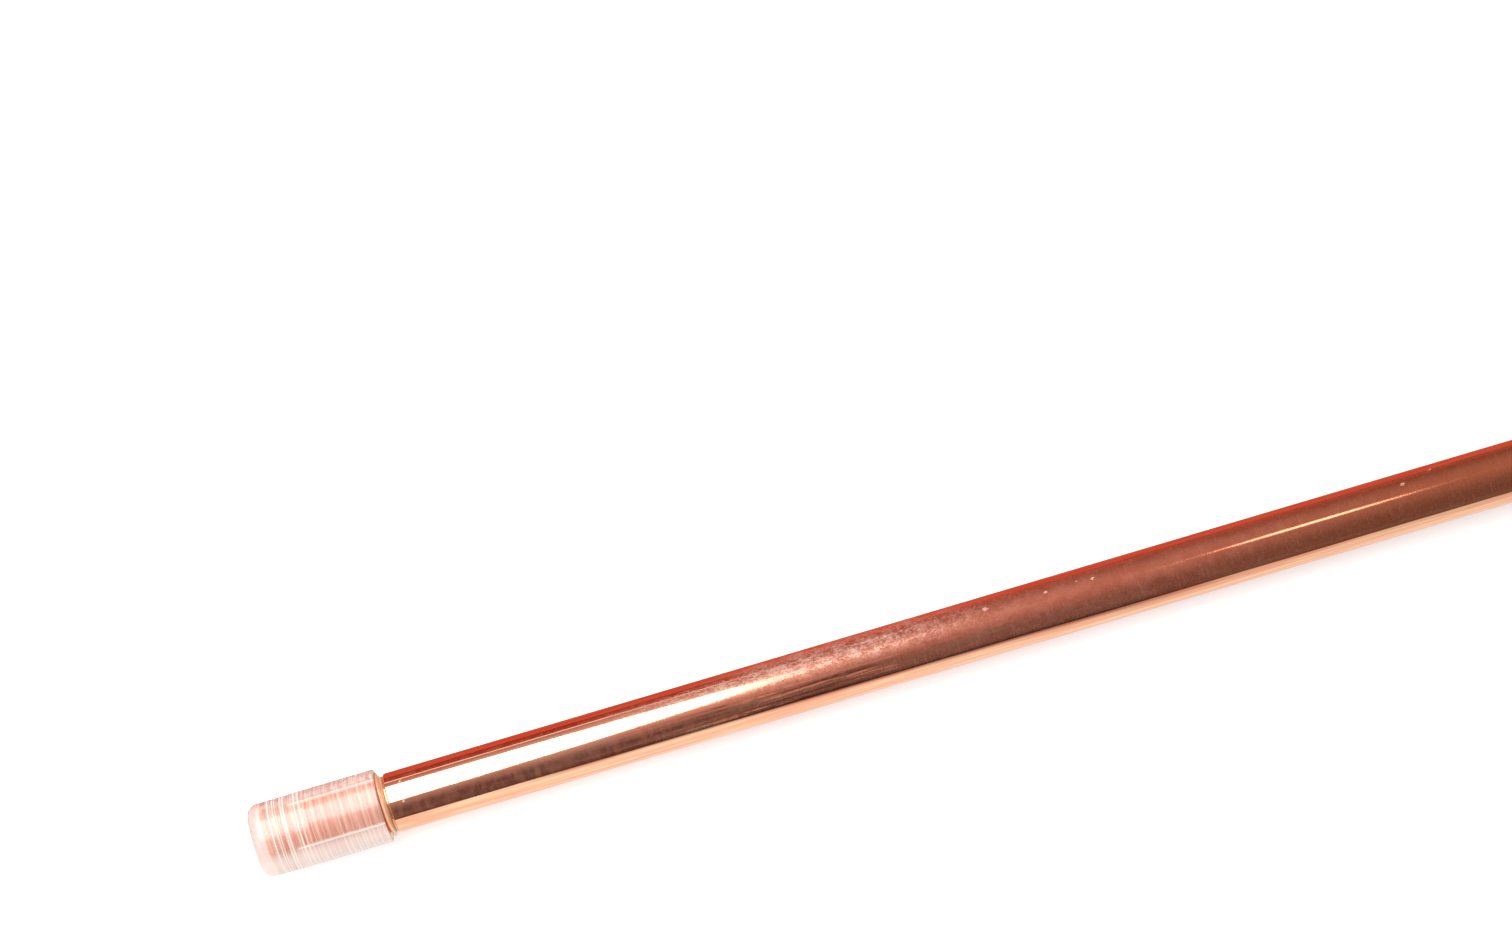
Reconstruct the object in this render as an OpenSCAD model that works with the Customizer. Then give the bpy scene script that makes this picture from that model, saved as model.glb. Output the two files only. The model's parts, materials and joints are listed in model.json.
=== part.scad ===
// Copper-bonded earth rod with a threaded end under a push-on thread cap.
// Millimetres. The rod lies along X: the origin is on its axis where the thread meets the shank,
// the thread and its cap run towards -X and the plain end is at +X.

/* [Rod] */
// Length of the rod over both ends
rod_length = 1200; // [300:10:3000]
// Diameter of the plain shank
shank_d = 14.2; // [13.8:0.1:15.2]
// Chamfer round the shank where the thread starts
shoulder_chamfer = 0.3; // [0.1:0.05:0.4]
// Chamfer round the plain end
end_chamfer = 1.2; // [0.3:0.1:4]

/* [Thread] */
// Diameter over the thread's crests
thread_d = 15.875; // [15.2:0.025:18]
// Distance from one crest to the next
thread_pitch = 2.309; // [1.5:0.001:3]
// Depth of the thread from crest to root
thread_depth = 1.4; // [0.8:0.05:1.8]
// Length of the thread from the rod's end to the shank
thread_length = 30; // [15:0.5:60]
// Length of the taper at the rod's end
thread_taper = 1.6; // [0.5:0.1:3]
// Width of the plain groove between the thread and the shank
groove_w = 0.35; // [0.1:0.05:1]
// Length over which the thread fades out beside that groove
run_out = 0.5; // [0.2:0.05:2]
// Angle round the axis at which a crest points at the groove's end
crest_angle = 302; // [0:1:359]

/* [Cap] */
// Wall of the cap's tube
cap_wall = 0.75; // [0.4:0.05:2]
// Thickness of the cap's closed end
cap_end_wall = 1.2; // [0.6:0.1:3]
// Rounding round the outside of the closed end
cap_corner_r = 2.4; // [0.6:0.1:5]
// Rounding round the inside of the closed end
cap_inner_r = 1.4; // [0.3:0.1:3]
// Gap between the thread's crests and the cap's bore
cap_clearance = 0.05; // [0.02:0.01:0.3]
// Gap between the rod's end and the inside of the closed end
cap_end_gap = 1.7; // [0.5:0.1:8]
// Thread left bare between the cap's mouth and the shank
bare_thread = 1.9; // [0:0.1:8]

/* [Hidden] */
// Corners in one turn of the thread, and rows of them in one pitch
thread_sides = 24;
rows_per_pitch = 8;
// How far the thread's core reaches into the shank, so that the two are one solid
core_overlap = 1;
// Facets of turned shapes and of the cap's rounded corners
turned_fn = 96;
corner_fn = 64;

shank_r = shank_d / 2;
shank_length = rod_length - thread_length;
crest_r = thread_d / 2;
root_r = crest_r - thread_depth;

bore_r = crest_r + cap_clearance;
cap_r = bore_r + cap_wall;
cap_depth = thread_length - bare_thread + cap_end_gap;
cap_length = cap_depth + cap_end_wall;

copper = [0.80, 0.45, 0.33];
clear_plastic = [0.93, 0.88, 0.84];

// Turns a shape that stands on Z so that it points along +X
module along_x() rotate([0, 90, 0]) children();

// Height of the rolled thread above its root at angle a, a wave that climbs right-handed along X
function wave(x, a) = thread_depth / 2 * (1 + cos(360 * x / thread_pitch - a + crest_angle));
// Share of the full thread that is left at x, which falls to none at the groove
function left_over(x) = max(0, min(1, (-x - groove_w) / run_out));
// Greatest radius that the taper at the rod's end allows
function taper_r(x) = root_r + thread_depth * (x + thread_length) / thread_taper;
function thread_r(x, a) = min(taper_r(x), root_r + wave(x, a) * left_over(x));

// Threaded core, as rings of corners from the rod's end into the shank
module thread() {
    rows = ceil(thread_length / thread_pitch * rows_per_pitch);
    stations = [for (i = [0:rows]) -thread_length * (1 - i / rows), core_overlap];
    last = len(stations) - 1;
    corners = [
        for (x = stations, j = [0:thread_sides - 1])
            let (a = 360 * j / thread_sides, r = thread_r(x, a)) [x, r * cos(a), r * sin(a)]
    ];
    function corner(i, j) = i * thread_sides + j % thread_sides;
    sides = [
        for (i = [0:last - 1], j = [0:thread_sides - 1])
            each [
                [corner(i, j), corner(i + 1, j), corner(i, j + 1)],
                [corner(i, j + 1), corner(i + 1, j), corner(i + 1, j + 1)]
            ]
    ];
    rod_end = [for (j = [0:thread_sides - 1]) corner(0, j)];
    inner_end = [for (j = [thread_sides - 1:-1:0]) corner(last, j)];
    polyhedron(corners, concat(sides, [rod_end], [inner_end]));
}

// Plain bar from the end of the thread to the square-cut far end
module shank() {
    along_x() rotate_extrude($fn = turned_fn) polygon([
        [0, 0],
        [shank_r - shoulder_chamfer, 0],
        [shank_r, shoulder_chamfer],
        [shank_r, shank_length - end_chamfer],
        [shank_r - end_chamfer, shank_length],
        [0, shank_length]
    ]);
}

// Half section of a round-ended plug from its mouth at 0, with a rounded corner
module plug_section(r, length, corner_r) {
    square([r, length - corner_r]);
    square([r - corner_r, length]);
    translate([r - corner_r, length - corner_r]) circle(corner_r, $fn = corner_fn);
}

module rod() {
    color(copper) union() {
        thread();
        shank();
    }
}

module thread_cap() {
    color(clear_plastic) translate([-bare_thread, 0, 0]) mirror([1, 0, 0]) along_x() difference() {
        rotate_extrude($fn = turned_fn) plug_section(cap_r, cap_length, cap_corner_r);
        rotate_extrude($fn = turned_fn) plug_section(bore_r, cap_depth, cap_inner_r);
    }
}

rod();
thread_cap();
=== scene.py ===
"""Looks of the earth rod: a polished copper rod with a rolled thread under a translucent push-on cap."""
import json
from math import atan2, ceil, cos, degrees, pi, radians, sin, sqrt

import bmesh
import bpy
from mathutils import Matrix, Vector


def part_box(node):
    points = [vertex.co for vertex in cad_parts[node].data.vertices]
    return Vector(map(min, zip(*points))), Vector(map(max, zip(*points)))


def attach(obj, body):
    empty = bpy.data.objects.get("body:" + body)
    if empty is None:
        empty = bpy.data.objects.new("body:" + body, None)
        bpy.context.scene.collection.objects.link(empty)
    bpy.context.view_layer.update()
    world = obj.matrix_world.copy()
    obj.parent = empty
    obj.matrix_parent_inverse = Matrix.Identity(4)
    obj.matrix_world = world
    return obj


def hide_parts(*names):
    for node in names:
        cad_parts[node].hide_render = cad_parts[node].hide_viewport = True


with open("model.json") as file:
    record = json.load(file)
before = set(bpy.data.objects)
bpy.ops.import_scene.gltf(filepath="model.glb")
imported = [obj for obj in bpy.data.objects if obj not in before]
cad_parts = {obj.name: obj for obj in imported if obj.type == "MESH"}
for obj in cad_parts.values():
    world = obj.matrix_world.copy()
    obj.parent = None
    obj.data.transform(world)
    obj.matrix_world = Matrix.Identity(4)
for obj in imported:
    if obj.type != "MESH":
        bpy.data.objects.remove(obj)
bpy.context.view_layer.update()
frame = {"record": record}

# Sizes of the rod, in metres, as in the part's source
MM = 0.001
SHANK_R = frame["record"]["mounts"][0]["dims"]["r_mm"] * MM
ROD_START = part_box("rod")[0].x
ROD_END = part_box("rod")[1].x
SHOULDER_CHAMFER = 0.3 * MM
END_CHAMFER = 1.2 * MM
CREST_R = 7.9375 * MM
PITCH = 2.309 * MM
THREAD_DEPTH = 1.4 * MM
THREAD_TAPER = 1.6 * MM
GROOVE_W = 0.35 * MM
RUN_OUT = 0.5 * MM
CREST_ANGLE = radians(302)
ROOT_R = CREST_R - THREAD_DEPTH

# Sizes of the cap
CAP_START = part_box("thread_cap")[0].x
CAP_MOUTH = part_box("thread_cap")[1].x
CAP_CLEARANCE = 0.05 * MM
CAP_WALL = 0.75 * MM
CAP_BORE_R = CREST_R + CAP_CLEARANCE
CAP_R = CAP_BORE_R + CAP_WALL
CAP_END_WALL = 1.2 * MM
CAP_CORNER_R = 2.4 * MM
CAP_INNER_R = 1.4 * MM
CAP_LIP_R = 0.25 * MM

# Fine marks of the mould on the cap: rings near its closed end, and pairs of straight lines to its mouth
RING_PLACES = (4.6 * MM, 5.7 * MM)
RING_HEIGHT = 0.05 * MM
RING_HALF_W = 0.25 * MM
FINE_RINGS_FROM = (6.6 * MM, 10.9 * MM)
FINE_RINGS_EACH = 7
FINE_RING_STEP = 0.46 * MM
FINE_RING_HEIGHT = 0.03 * MM
FINE_RING_HALF_W = 0.14 * MM
LINE_START = 10 * MM
LINE_RISE = 0.3 * MM
LINE_HEIGHT = 0.1 * MM
LINE_HALF_TURN = 2.2
PANELS = 3
PANEL_TURN = 360 / PANELS
PANEL_FIRST = 140.5
PANEL_NARROW = 45

# Fineness of the turned meshes
ROD_STEPS = 128
CAP_STEPS = 240
ROWS_PER_PITCH = 16
ARC_STEPS = 10
SHARP_ANGLE = radians(38)

# Wear along the rod, in metres from its shoulder: where each kind sets in, and where it fades out
TARNISH_IN = (0.075, 0.15)
BROWN_IN = (0.15, 0.27)
COAT_OUT = (0.17, 0.27)
STREAKS_IN = (0.06, 0.085)
STREAKS_OUT = (0.112, 0.128)
PATCHES_IN = (0.045, 0.075)
PATCHES_OUT = (0.12, 0.15)
SCUFFS_IN = (0.07, 0.1)
SCUFFS_OUT = (0.115, 0.16)

# Middle of the scuffs as a share of the shank's radius, the widths of the thread's fade and of the painted
# shade at the cap's mouth and the groove, and the depth of the finest marks
SCUFFS_SIDE = 0.3
THREAD_FADE = 0.4 * MM
SHADE_LINE_W = 0.5 * MM
COPPER_GRAIN = 0.012 * MM

# Chips in the copper: place along the rod, angle round it in degrees, and radius
CHIPS = (
    (3.6 * MM, 115, 0.35 * MM),
    (3.9 * MM, 76, 0.4 * MM),
    (113.5 * MM, 82, 0.3 * MM),
    (121.0 * MM, 90, 0.25 * MM),
    (121.5 * MM, 73, 0.45 * MM),
    (145.6 * MM, 78, 0.55 * MM),
    (160.2 * MM, 80, 0.4 * MM),
    (167.8 * MM, 76, 0.25 * MM),
    (171.6 * MM, 80, 0.45 * MM),
    (247.0 * MM, 74, 0.6 * MM),
    (254.2 * MM, 57, 0.45 * MM),
)

# Colours of the copper
BRIGHT_COPPER = (0.94, 0.45, 0.28, 1)
PALE_COPPER = (0.98, 0.65, 0.41, 1)
SMUDGED_COPPER = (0.88, 0.34, 0.2, 1)
RED_TARNISH = (0.68, 0.21, 0.11, 1)
PALE_TARNISH = (0.78, 0.285, 0.165, 1)
BROWN_TARNISH = (0.55, 0.185, 0.075, 1)
STREAK = (0.85, 0.27, 0.15, 1)
DARK_STREAK = (0.38, 0.11, 0.05, 1)
SCUFF = (0.76, 0.43, 0.34, 1)
CHIP = (0.88, 0.46, 0.35, 1)
# The thread's roots take a darker colour than its crests: painted shade in its recesses
SHADED_THREAD_ROOT = (0.86, 0.30, 0.14, 1)
THREAD_CREST = (1.0, 0.53, 0.31, 1)
BARE_THREAD = (1.0, 0.66, 0.42, 1)
# Painted shade: the dark line at the cap's mouth and in the groove by the shank
SHADE_LINE_COLOUR = (0.35, 0.13, 0.06, 1)

# Colours of the cap
CLEAR_PLASTIC = (1.0, 0.97, 0.95, 1)
MILKY_PLASTIC = (1.0, 0.91, 0.86, 1)
CAP_SHADOW = (0.74, 0.71, 0.68, 1)

# Milky haze along the cap, in metres from its closed end, and the depth of its grain
END_HAZE_OUT = (0.0005, 0.0045)
MARKS_IN = (0.002, 0.0055)
MARKS_OUT = (0.0105, 0.016)
CAP_GRAIN = 0.03 * MM

# The camera, fitted to the photograph's 1512 x 929 pixels
PHOTO_W = 1512
FOCAL_PX = 4600
SENSOR_W = 36
CAMERA_ELEVATION = radians(64.8)
CAMERA_ROLL = radians(16.49)
CAMERA_DISTANCE = 1.10829
FLOOR_Z = -CAP_R
AIM = Vector((0.10418, 0.06116, FLOOR_Z))

# The softbox overhead, and the strip lamp beyond it
SOFTBOX_PLACE = Vector((-0.124, 0.13, 0.5))
SOFTBOX_SIZE = (0.426, 0.68)
SOFTBOX_RADIANCE = 4.5
STRIP_PLACE = Vector((0.28, 0.05, 0.5))
STRIP_SIZE = (0.06, 0.065)
STRIP_RADIANCE = 5.2

# The floor: its paper, and the lit sheet of it before the rod that metal sees
FLOOR_SIZE = 4
PAPER = (0.85, 0.85, 0.85, 1)
PAPER_GLOW = 0.51
SHEET_DEPTH = 0.238
SHEET_LEAST_DEPTH = 0.056
FAR_STRETCH_IN = (0.17, 0.22)
SHEET_LIT = (1.05, 1.02, 1.0, 1)
SHEET_EDGE = (0.3, 0.03, 0.02, 1)
DARK_FLOOR = (0.05, 0.03, 0.03, 1)
WARM_FLOOR = (0.18, 0.09, 0.06, 1)
RED_FLOOR = (0.62, 0.11, 0.07, 1)

# The light all round, and the room that metal sees
NEAR_LIGHT = (0.9, 0.88, 0.86, 1)
FAR_LIGHT = (0.55, 0.55, 0.55, 1)
WHITE = (1, 1, 1, 1)
DARK_ROOM = (0.14, 0.08, 0.085, 1)
LAMP_GLOW = (1.8, 1.2, 1.25, 1)
RED_SIDE = (0.34, 0.055, 0.04, 1)
WALL_GLOW = (1.4, 1.05, 1.1, 1)
BLACK_SIDE = (0.03, 0.015, 0.015, 1)


class Socket:
    """An output socket of a node tree. Python arithmetic on it adds Math nodes."""

    def __init__(self, tree, output=None):
        self.tree = tree
        self.output = output

    def node(self, kind, settings=None, inputs=None, output=0):
        """Adds a node: its settings first, then a value or a link for each named socket."""
        node = self.tree.nodes.new(kind)
        for name, value in (settings or {}).items():
            setattr(node, name, value)
        for name, value in (inputs or {}).items():
            if isinstance(value, Socket):
                self.tree.links.new(value.output, node.inputs[name])
            else:
                node.inputs[name].default_value = value
        return Socket(self.tree, node.outputs[output] if node.outputs else None)

    def math(self, operation, *others):
        values = dict(enumerate((self,) + others))
        return self.node("ShaderNodeMath", {"operation": operation}, values)

    def clamped(self):
        return self.node("ShaderNodeClamp", inputs={"Value": self})

    def ramp(self, low, high):
        """Climbs smoothly from 0 at low to 1 at high."""
        limits = {"Value": self, "From Min": low, "From Max": high}
        return self.node("ShaderNodeMapRange", {"interpolation_type": "SMOOTHSTEP"}, limits)

    def between(self, rise, fall):
        """Climbs from 0 to 1 over one range of values, and falls back to 0 over another."""
        return self.ramp(*rise) * (1 - self.ramp(*fall))

    def mix(self, first, second):
        """The first colour where this value is 0, and the second where it is 1."""
        inputs = {"Factor": self, 6: first, 7: second}
        return self.node("ShaderNodeMix", {"data_type": "RGBA"}, inputs, output=2)

    def __add__(self, other):
        return self.math("ADD", other)

    def __mul__(self, other):
        return self.math("MULTIPLY", other)

    def __sub__(self, other):
        return self.math("SUBTRACT", other)

    def __rsub__(self, other):
        return self.node("ShaderNodeMath", {"operation": "SUBTRACT"}, {0: other, 1: self})

    __radd__ = __add__
    __rmul__ = __mul__


def new_material(name):
    """An empty material, and the socket that its nodes are added from."""
    material = bpy.data.materials.new(name)
    material.use_nodes = True
    material.node_tree.nodes.clear()
    return material, Socket(material.node_tree)


def finish_material(start, surface):
    start.node("ShaderNodeOutputMaterial", inputs={"Surface": surface})


def mixed(factor, first, second):
    """The first shader where the factor is 0, and the second where it is 1."""
    return factor.node("ShaderNodeMixShader", inputs={0: factor, 1: first, 2: second})


def object_coordinates(start):
    return start.node("ShaderNodeTexCoord", output="Object")


def axes(vector):
    """The X, Y and Z of a vector, as three values."""
    parts = vector.node("ShaderNodeSeparateXYZ", inputs={"Vector": vector})
    return [Socket(vector.tree, part) for part in parts.output.node.outputs]


def ray_is(start, kind):
    return start.node("ShaderNodeLightPath", output="Is %s Ray" % kind)


def seen(start):
    """1 for a ray from the camera or through the plastic, and 0 for any other."""
    return ray_is(start, "Camera").math("MAXIMUM", ray_is(start, "Transmission"))


def after_metal(start):
    """1 for a ray that has been mirrored on its way from the camera, and 0 for any other."""
    mirrored = start.node("ShaderNodeLightPath", output="Glossy Depth").math("GREATER_THAN", 0.5)
    scattered = start.node("ShaderNodeLightPath", output="Diffuse Depth").math("GREATER_THAN", 0.5)
    return mirrored * (1 - scattered)


def noise(place, scale, detail=2.0, roughness=0.5, turn=(0, 0, 0)):
    """Noise with so many grains a metre along X, Y and Z."""
    mapping = {"Vector": place, "Rotation": turn, "Scale": scale}
    grain = place.node("ShaderNodeMapping", inputs=mapping)
    inputs = {"Vector": grain, "Scale": 1.0, "Detail": detail, "Roughness": roughness}
    return place.node("ShaderNodeTexNoise", inputs=inputs)


def bumped(height, depth):
    """Normals of a surface whose height of 1 stands so many metres proud."""
    inputs = {"Strength": 1.0, "Distance": depth, "Height": height}
    return height.node("ShaderNodeBump", inputs=inputs)


def on_shank(x, angle):
    """A point on the shank's surface."""
    return Vector((x, SHANK_R * cos(radians(angle)), SHANK_R * sin(radians(angle))))


def chip_mask(place, ragged):
    """1 in the chips of the copper, with a ragged edge."""
    mask = None
    for x, angle, radius in CHIPS:
        ends = {0: place, 1: on_shank(x, angle)}
        distance = place.node("ShaderNodeVectorMath", {"operation": "DISTANCE"}, ends, output="Value")
        chip = 1 - (distance + ragged * radius * 4).ramp(radius * 0.5, radius * 1.1)
        mask = chip if mask is None else mask.math("MAXIMUM", chip)
    return mask


def thread_colour(along, across, upward):
    """Darker in the roots as painted shade, golden where the thread is bare, with painted shade at the cap's
    mouth and in the groove.
    """
    from_axis = (across * across + upward * upward).math("SQRT")
    # The roots are painted darker than the crests: painted shade in the thread's recesses
    crest = from_axis.ramp(ROOT_R + THREAD_DEPTH * 0.15, ROOT_R + THREAD_DEPTH * 0.9)
    # A dark line of painted shade at the cap's mouth and in the groove by the shank, where shade falls
    past_mouth = along - CAP_MOUTH
    shade_at_mouth = past_mouth.between((-SHADE_LINE_W / 2, 0), (SHADE_LINE_W / 2, SHADE_LINE_W))
    shade_line = shade_at_mouth.math("MAXIMUM", along.ramp(-GROOVE_W - SHADE_LINE_W / 2, -GROOVE_W))
    colour = crest.mix(SHADED_THREAD_ROOT, THREAD_CREST)
    colour = past_mouth.ramp(0, SHADE_LINE_W).mix(colour, BARE_THREAD)
    return (shade_line * 0.8).mix(colour, SHADE_LINE_COLOUR)


def copper_material():
    """Polished copper: bright by the thread, then dulled by a thin, streaky brown tarnish."""
    material, start = new_material("polished_copper")
    place = object_coordinates(start)
    along, across, upward = axes(place)
    side = across * (1 / SHANK_R)

    drawn_lines = noise(place, (9, 700, 700), 3.0)
    fine_lines = noise(place, (30, 1150, 1150), 4.0, 0.7)
    short_lines = noise(place, (45, 1000, 1000), 3.0)
    clouds = noise(place, (18, 90, 90), 4.0)
    mottle = noise(place, (330, 330, 330), 6.0, 0.65)
    smudges = noise(place, (700, 250, 250), 5.0, 0.7)
    speckle = noise(place, (1300, 2000, 2000), 5.0, 0.75)
    scratches = noise(place, (2600, 60, 60), 3.0)
    cross_scratches = noise(place, (3000, 300, 300), 3.0, turn=(0, 0.35, 0.6))
    scratched = scratches.ramp(0.55, 0.75) * 0.15 + cross_scratches.ramp(0.54, 0.7) * 0.5

    # The tarnish sets in with streaks, and is mostly left off the near and far flanks, where they mirror the
    # floor
    onset = along + (drawn_lines - 0.5) * 0.35 + (clouds - 0.5) * 0.1
    untarnished_flanks = side.ramp(0.4, 0.58).math("MAXIMUM", (-1 * side).ramp(0.77, 0.87))
    tarnish = onset.ramp(*TARNISH_IN) * (1 - untarnished_flanks * 0.95)
    smudged = smudges.ramp(0.36, 0.7) * (1 - tarnish) * (1 - untarnished_flanks)
    streak_zone = along.between(STREAKS_IN, STREAKS_OUT) * (1 - side.ramp(-0.42, -0.34))
    broken = streak_zone * (1 - untarnished_flanks) * (mottle.ramp(0.38, 0.55) * 0.7 + 0.3)
    streaks = fine_lines.ramp(0.52, 0.6) * broken
    dark_streaks = (1 - fine_lines.ramp(0.42, 0.5)) * broken * 0.9

    # Pale scuffs on the upper side, dense along their middle, and the chips
    off_middle = (side - SCUFFS_SIDE).math("ABSOLUTE")
    patch_zone = along.between(PATCHES_IN, PATCHES_OUT) * (1 - off_middle.ramp(0.08, 0.28))
    scuff_zone = along.between(SCUFFS_IN, SCUFFS_OUT) * (1 - off_middle.ramp(0.35, 0.75))
    worn = mottle * 0.3 + speckle * 0.5 + drawn_lines * 0.2
    scuffs = (worn.ramp(0.46, 0.56) * patch_zone).math("MAXIMUM", worn.ramp(0.43, 0.58) * scuff_zone)
    chips = chip_mask(place, speckle - 0.5)
    threaded = 1 - along.ramp(-THREAD_FADE, 0)

    pale_lines = (drawn_lines * 0.3 + short_lines * 0.7).ramp(0.4, 0.6)
    bright = pale_lines.mix(BRIGHT_COPPER, PALE_COPPER)
    bright = (smudged * 0.7).mix(bright, SMUDGED_COPPER)
    dull = mottle.ramp(0.35, 0.65).mix(RED_TARNISH, PALE_TARNISH)
    dull = (along.ramp(*BROWN_IN) * 0.75).mix(dull, BROWN_TARNISH)
    colour = tarnish.mix(bright, dull)
    for mask, tone in ((streaks, STREAK), (dark_streaks, DARK_STREAK), (scuffs, SCUFF), (chips, CHIP)):
        colour = mask.mix(colour, tone)
    colour = threaded.mix(colour, thread_colour(along, across, upward))

    # What dulls the copper also veils its metal
    veil = tarnish * (scratched * 0.16 + (speckle - 0.5) * 0.4 + 0.175) + scratched * 0.025
    veil = veil + smudged * 0.12 + streaks * 0.4 + scuffs * 0.35 + chips * 0.4 + threaded * 0.55
    roughness = tarnish * 0.03 + scuffs * 0.2 + chips * 0.3 + threaded * 0.2 + mottle * 0.03 + 0.05
    height = scratches * 0.1 + cross_scratches * 0.3 + smudges * 0.5
    height = height + fine_lines * 0.2 + mottle * 0.15 - chips * 3.0
    surface = start.node("ShaderNodeBsdfPrincipled", inputs={
        "Base Color": colour,
        "Metallic": (1 - veil).clamped(),
        "Roughness": roughness,
        "Coat Weight": tarnish * (0.42 - along.ramp(*COAT_OUT) * 0.27),
        "Coat Roughness": 0.4,
        "Normal": bumped(height, COPPER_GRAIN),
    })
    finish_material(start, surface)
    return material


def panel_haze(from_end, across, upward):
    """Haze of the cap's narrow panels, and of the straight lines along their edges."""
    angle = upward.math("ARCTAN2", across) * degrees(1)
    panel = ((angle - PANEL_FIRST) * (1 / PANEL_TURN)).math("FRACT")
    edge = PANEL_NARROW / PANEL_TURN
    narrow = 1 - panel.ramp(edge - 0.01, edge + 0.01)
    to_line = panel.math("MINIMUM", (panel - edge).math("ABSOLUTE"))
    line = 1 - to_line.math("MINIMUM", 1 - panel).ramp(0.007, 0.014)
    lined = from_end.ramp(LINE_START - LINE_RISE, LINE_START + LINE_RISE)
    return lined * (narrow * 0.08 + line * 0.6)


def cap_material():
    """Frosted plastic, milky near its closed end, which has turned marks, and milkier on its near flank as
    painted light from the floor.
    """
    material, start = new_material("clear_plastic")
    place = object_coordinates(start)
    along, across, upward = axes(place)
    from_end = along - CAP_START
    grain = noise(place, (900, 900, 900), 3.0)
    clouds = noise(place, (220, 220, 220), 3.0)
    turned = noise(place, (1900, 0, 0), 3.0)

    marks_zone = from_end.ramp(*MARKS_IN) * (1 - from_end.ramp(*MARKS_OUT) * 0.75)
    marks = turned.ramp(0.48, 0.6) * marks_zone
    closed_end = 1 - from_end.ramp(*END_HAZE_OUT)
    # Painted light: the near flank is made milkier and so paler, standing in for the light thrown up by the
    # floor
    painted_light_flank = 1 - across.ramp(CAP_R * -0.97, CAP_R * -0.68)
    milkiness = marks * 0.75 + panel_haze(from_end, across, upward) + closed_end * 0.3
    milkiness = milkiness + painted_light_flank * 0.55 + (clouds - 0.5) * 0.1 + 0.1

    bump = bumped(grain * 0.4 + turned * marks_zone, CAP_GRAIN)
    plastic = start.node("ShaderNodeBsdfPrincipled", inputs={
        "Base Color": CLEAR_PLASTIC,
        "Roughness": grain * 0.1 + 0.16,
        "Transmission Weight": 1.0,
        "IOR": 1.5,
        "Coat Weight": 0.9,
        "Coat Roughness": 0.2,
        "Normal": bump,
    })
    film = start.node("ShaderNodeBsdfDiffuse", inputs={"Color": MILKY_PLASTIC, "Normal": bump})
    glow = start.node("ShaderNodeBsdfTranslucent", inputs={"Color": MILKY_PLASTIC, "Normal": bump})
    haze = start.node("ShaderNodeMixShader", inputs={0: 0.3, 1: film, 2: glow})
    surface = mixed(milkiness.clamped(), plastic, haze)
    clear = start.node("ShaderNodeBsdfTransparent", inputs={"Color": CAP_SHADOW})
    finish_material(start, mixed(ray_is(start, "Shadow"), surface, clear))
    return material


def floor_material():
    """Pale floor, white to the camera but for the shadow. Metal sees a lit sheet of it before the rod."""
    material, start = new_material("pale_floor")
    along, across = axes(object_coordinates(start))[:2]
    in_metal = after_metal(start)
    paper = start.node("ShaderNodeBsdfDiffuse", inputs={"Color": PAPER})
    white = start.node("ShaderNodeEmission", inputs={"Strength": PAPER_GLOW})
    white_paper = start.node("ShaderNodeAddShader", inputs={0: paper, 1: white})
    lit = mixed(seen(start) * (1 - in_metal), paper, white_paper)

    # The sheet grows narrower along the rod, and its light fades towards its front edge
    front_edge = (along - SHEET_DEPTH).math("MINIMUM", -SHEET_LEAST_DEPTH)
    far_stretch = along.ramp(*FAR_STRETCH_IN)
    fade = across.math("DIVIDE", front_edge).ramp(0.16, 0.72)
    fade = fade * along.ramp(0.015, 0.04) * (1 - far_stretch * 0.6)
    sheet = start.node("ShaderNodeEmission", inputs={"Color": fade.mix(SHEET_LIT, SHEET_EDGE)})
    lit = mixed(in_metal * 0.75, lit, sheet)

    # Beyond the sheet and behind the rod the floor is dim to metal
    behind = across.ramp(0.006, 0.02)
    before = 1 - (across - front_edge).ramp(-0.008, 0.008)
    tone = behind.mix(far_stretch.mix(DARK_FLOOR, WARM_FLOOR), RED_FLOOR)
    dim = start.node("ShaderNodeEmission", inputs={"Color": tone})
    finish_material(start, mixed(before.math("MAXIMUM", behind) * in_metal, lit, dim))
    return material


def new_piece(name, mesh_maker, material):
    """A mesh object at the origin, with its place in its mesh, shaded smooth but for its sharp edges."""
    bm = bmesh.new()
    mesh_maker(bm)
    mesh = bpy.data.meshes.new(name)
    bm.to_mesh(mesh)
    bm.free()
    mesh.shade_smooth()
    mesh.set_sharp_from_angle(angle=SHARP_ANGLE)
    mesh.materials.append(material)
    piece = bpy.data.objects.new(name, mesh)
    bpy.context.scene.collection.objects.link(piece)
    return piece


def turn(bm, outline, steps):
    """Turns an outline of (along, radius) points round the X axis into a closed skin."""
    corners = [bm.verts.new((x, 0, r)) for x, r in outline]
    edges = [bm.edges.new(pair) for pair in zip(corners, corners[1:])]
    bmesh.ops.spin(bm, geom=corners + edges, cent=(0, 0, 0), axis=(1, 0, 0), angle=2 * pi,
                   steps=steps, use_merge=True)
    bmesh.ops.remove_doubles(bm, verts=bm.verts, dist=1e-7)
    bmesh.ops.recalc_face_normals(bm, faces=bm.faces)


def arc(centre, radius, start, end):
    """Points of an arc in an outline, from one angle to another."""
    turns = [start + (end - start) * i / ARC_STEPS for i in range(ARC_STEPS + 1)]
    return [(centre[0] + radius * cos(a), centre[1] + radius * sin(a)) for a in turns]


def polar(corner):
    """Radius and angle of a corner round the X axis."""
    return sqrt(corner.co.y ** 2 + corner.co.z ** 2), atan2(corner.co.z, corner.co.y)


def set_radius(corner, radius, angle):
    corner.co = (corner.co.x, radius * cos(angle), radius * sin(angle))


def thread_r(x, angle):
    """Radius of the rolled thread, tapered at the rod's end and faded out at the groove by the shank."""
    wave = THREAD_DEPTH / 2 * (1 + cos(2 * pi * x / PITCH - angle + CREST_ANGLE))
    left_over = max(0, min(1, (-x - GROOVE_W) / RUN_OUT))
    taper = ROOT_R + THREAD_DEPTH * (x - ROD_START) / THREAD_TAPER
    return min(taper, ROOT_R + wave * left_over)


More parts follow.
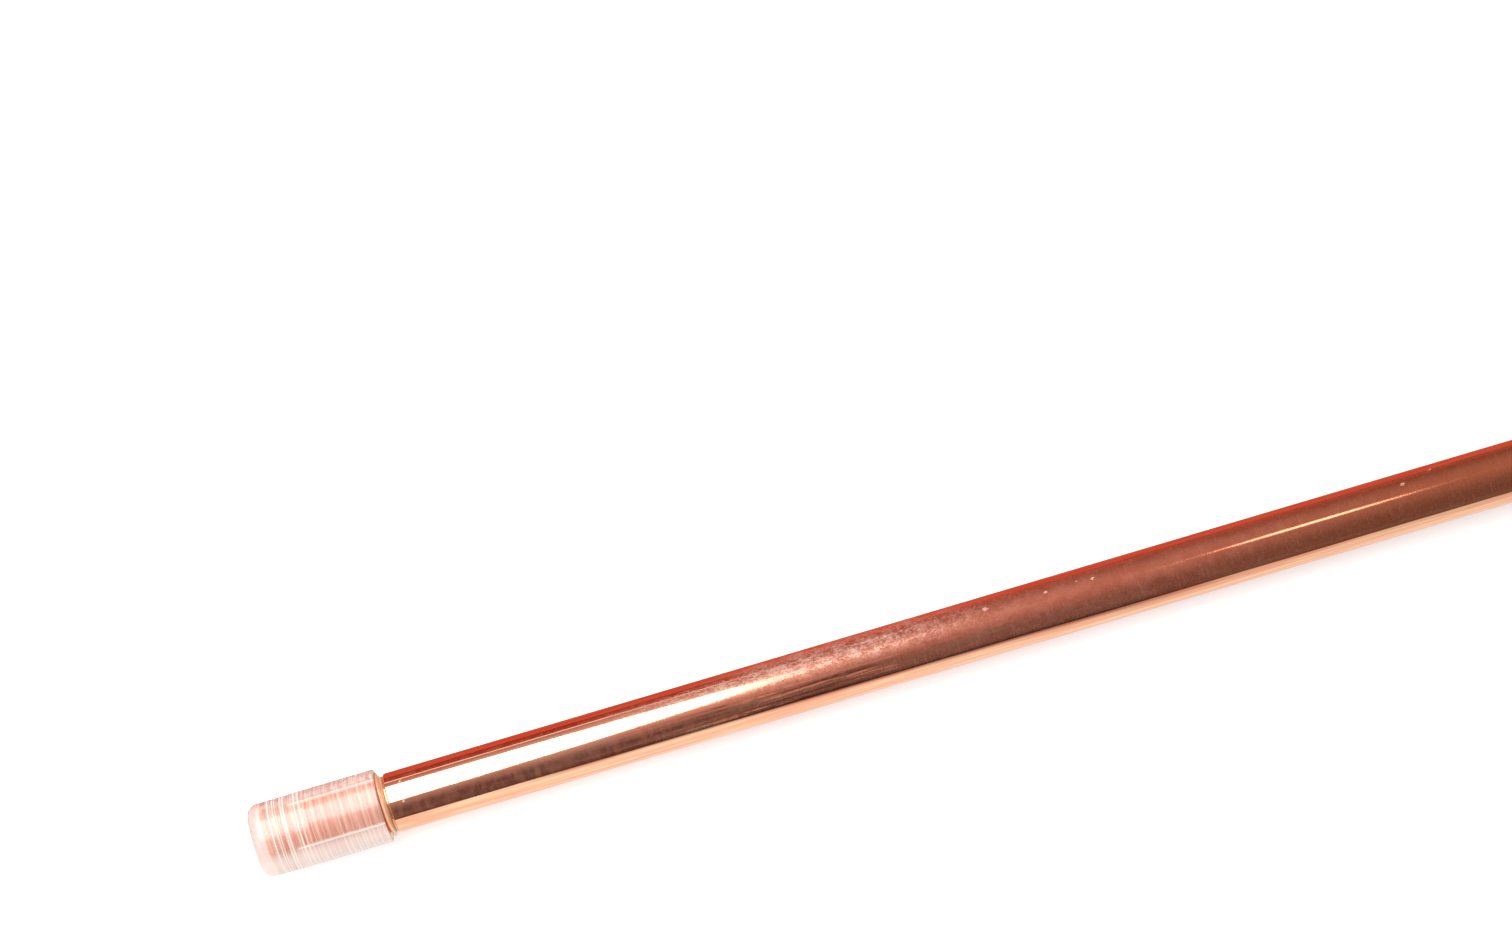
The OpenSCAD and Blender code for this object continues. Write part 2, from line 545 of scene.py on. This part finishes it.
def rod_mesh(bm):
    """The rod: its thread, its shank and its two square ends."""
    rows = ceil(-ROD_START / PITCH * ROWS_PER_PITCH)
    thread = [(ROD_START * (1 - i / rows), ROOT_R) for i in range(rows + 1)]
    outline = [(ROD_START, 0)] + thread + [
        (0, SHANK_R - SHOULDER_CHAMFER),
        (SHOULDER_CHAMFER, SHANK_R),
        (ROD_END - END_CHAMFER, SHANK_R),
        (ROD_END, SHANK_R - END_CHAMFER),
        (ROD_END, 0),
    ]
    turn(bm, outline, ROD_STEPS)
    for corner in bm.verts:
        radius, angle = polar(corner)
        if corner.co.x < 0 and radius > ROOT_R / 2:
            set_radius(corner, thread_r(corner.co.x, angle), angle)


def ring_outline(place, height, half_w):
    """A low ring round the cap, at a place from its closed end."""
    x = CAP_START + place
    return [(x - half_w, CAP_R), (x, CAP_R + height), (x + half_w, CAP_R)]


def fine_rings(first):
    """A run of fine rings."""
    outline = []
    for i in range(FINE_RINGS_EACH):
        outline += ring_outline(first + i * FINE_RING_STEP, FINE_RING_HEIGHT, FINE_RING_HALF_W)
    return outline


def line_height(angle):
    """Height of the fine straight lines on the cap at an angle round it, in degrees."""
    panel = (angle - PANEL_FIRST) % PANEL_TURN
    off_line = min(abs(panel), abs(panel - PANEL_NARROW), abs(panel - PANEL_TURN))
    return LINE_HEIGHT * max(0, 1 - off_line / LINE_HALF_TURN)


def cap_mesh(bm):
    """The cap: its wall and closed end, with the rings and straight lines of its mould outside."""
    inside_end = CAP_START + CAP_END_WALL
    line_full = CAP_START + LINE_START + LINE_RISE
    outline = [(CAP_START, 0)]
    outline += arc((CAP_START + CAP_CORNER_R, CAP_R - CAP_CORNER_R), CAP_CORNER_R, pi, pi / 2)
    for place in RING_PLACES:
        outline += ring_outline(place, RING_HEIGHT, RING_HALF_W)
    outline += fine_rings(FINE_RINGS_FROM[0])
    outline += [(CAP_START + LINE_START, CAP_R), (line_full, CAP_R)]
    outline += fine_rings(FINE_RINGS_FROM[1])
    outline += arc((CAP_MOUTH - CAP_LIP_R, CAP_R - CAP_LIP_R), CAP_LIP_R, pi / 2, 0)
    outline += arc((CAP_MOUTH - CAP_LIP_R, CAP_BORE_R + CAP_LIP_R), CAP_LIP_R, 0, -pi / 2)
    outline += arc((inside_end + CAP_INNER_R, CAP_BORE_R - CAP_INNER_R), CAP_INNER_R, pi / 2, pi)
    outline += [(inside_end, 0)]
    turn(bm, outline, CAP_STEPS)
    for corner in bm.verts:
        radius, angle = polar(corner)
        if corner.co.x > line_full - LINE_RISE / 2 and radius > CAP_R - CAP_LIP_R / 4:
            set_radius(corner, radius + line_height(degrees(angle)), angle)


def floor_mesh(bm):
    bmesh.ops.create_grid(bm, x_segments=1, y_segments=1, size=FLOOR_SIZE)
    bmesh.ops.translate(bm, verts=bm.verts, vec=(0, 0, FLOOR_Z))


def area_light(name, place, size, radiance):
    """An elliptical lamp that faces straight down, as bright as its radiance."""
    lamp = bpy.data.lights.new(name, "AREA")
    lamp.shape = "ELLIPSE"
    lamp.size, lamp.size_y = size
    lamp.energy = radiance * pi * (pi / 4 * size[0] * size[1])
    light = bpy.data.objects.new(name, lamp)
    light.location = place
    light.visible_transmission = False
    bpy.context.scene.collection.objects.link(light)


def room_colour(along, across, upward):
    """The room that metal sees: dark and warm, bright towards the softbox, and red low on the far side."""
    to_lamp = SOFTBOX_PLACE.normalized()
    near_lamp = (across * to_lamp.y + upward * to_lamp.z - 0.3).math("MAXIMUM", 0.0)
    lamp_glow = near_lamp * near_lamp * (1 - along.ramp(-0.03, 0.05) * 0.5)
    colour = lamp_glow.mix(DARK_ROOM, LAMP_GLOW)
    far_side = across.ramp(0.35, 0.8) * (1 - upward.ramp(0.25, 0.7))
    colour = far_side.mix(colour, RED_SIDE)
    wall_glow = across.ramp(0.5, 0.7) * upward.between((0.40, 0.43), (0.46, 0.49))
    colour = (wall_glow * (1 - along.ramp(-0.02, 0.04))).mix(colour, WALL_GLOW)
    low_near = (1 - across.ramp(-0.9, -0.6)) * (1 - upward.ramp(0.1, 0.25))
    low_near = low_near * along.between((-0.07, -0.01), (0.07, 0.1))
    return (low_near * 0.8).mix(colour, BLACK_SIDE)


def add_world():
    """Plain light all round, stronger from the near side, white to the camera. Metal sees a room."""
    world = bpy.data.worlds.new("room")
    world.use_nodes = True
    world.node_tree.nodes.clear()
    start = Socket(world.node_tree)
    along, across, upward = axes(start.node("ShaderNodeTexCoord", output="Generated"))
    colour = across.ramp(-0.9, -0.2).mix(NEAR_LIGHT, FAR_LIGHT)
    colour = seen(start).mix(colour, WHITE)
    colour = after_metal(start).mix(colour, room_colour(along, across, upward))
    background = start.node("ShaderNodeBackground", inputs={"Color": colour})
    start.node("ShaderNodeOutputWorld", inputs={"Surface": background})
    bpy.context.scene.world = world


def add_camera():
    """Looks down across the rod, turned so that the rod climbs to the right."""
    back = Vector((0, -cos(CAMERA_ELEVATION), sin(CAMERA_ELEVATION)))
    level_up = Vector((0, sin(CAMERA_ELEVATION), cos(CAMERA_ELEVATION)))
    right = Vector((cos(CAMERA_ROLL), 0, 0)) - level_up * sin(CAMERA_ROLL)
    up = Vector((sin(CAMERA_ROLL), 0, 0)) + level_up * cos(CAMERA_ROLL)
    turned = Matrix((right, up, back)).transposed().to_4x4()
    lens = bpy.data.cameras.new("camera")
    lens.sensor_width = SENSOR_W
    lens.lens = SENSOR_W * FOCAL_PX / PHOTO_W
    camera = bpy.data.objects.new("camera", lens)
    camera.matrix_world = Matrix.Translation(AIM + back * CAMERA_DISTANCE) @ turned
    bpy.context.scene.collection.objects.link(camera)
    bpy.context.scene.camera = camera


rod = new_piece("copper_rod", rod_mesh, copper_material())
cap = new_piece("clear_cap", cap_mesh, cap_material())
for piece, node, slot in ((rod, "rod", "copper"), (cap, "thread_cap", "clear_plastic")):
    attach(piece, "root")
    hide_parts(node)

new_piece("floor", floor_mesh, floor_material())
area_light("softbox", SOFTBOX_PLACE, SOFTBOX_SIZE, SOFTBOX_RADIANCE)
area_light("strip", STRIP_PLACE, STRIP_SIZE, STRIP_RADIANCE)
add_world()
add_camera()
bpy.context.scene.view_settings.view_transform = "Standard"
